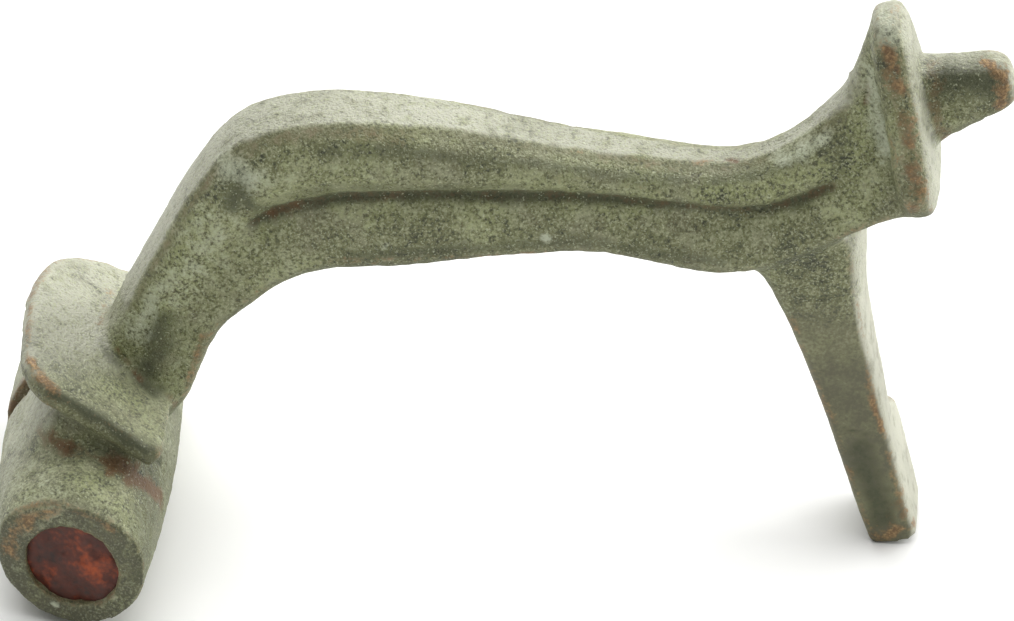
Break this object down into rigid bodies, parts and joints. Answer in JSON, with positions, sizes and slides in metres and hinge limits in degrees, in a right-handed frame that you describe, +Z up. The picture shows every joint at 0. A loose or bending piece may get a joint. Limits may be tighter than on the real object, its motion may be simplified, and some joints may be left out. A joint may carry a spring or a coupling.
{
  "type": "roman fibula brooch",
  "caption": "Cast bronze bow brooch with a hinge tube across its head, a collar, a high knee, a grooved bow, a crested foot with a knob, and a tall catch. Its pin is lost.",
  "frame": {"origin": "on the ground under the middle of the brooch's box", "axes": "+X from the hinge to the foot, +Y across the bow, away from the catch's plain face, +Z up"},
  "size_m": [0.039, 0.0172, 0.0239],
  "materials": {
    "patinated_bronze": "cast bronze under a granular olive green patina, pale on its upper faces, with copper brown wear on its edges",
    "rusted_iron": "rusted through, dark brown to orange, matte and crumbly"
  },
  "bodies": {
    "root": {"bronze_brooch": "patinated_bronze", "iron_axle": "rusted_iron"}
  },
  "joints": []
}
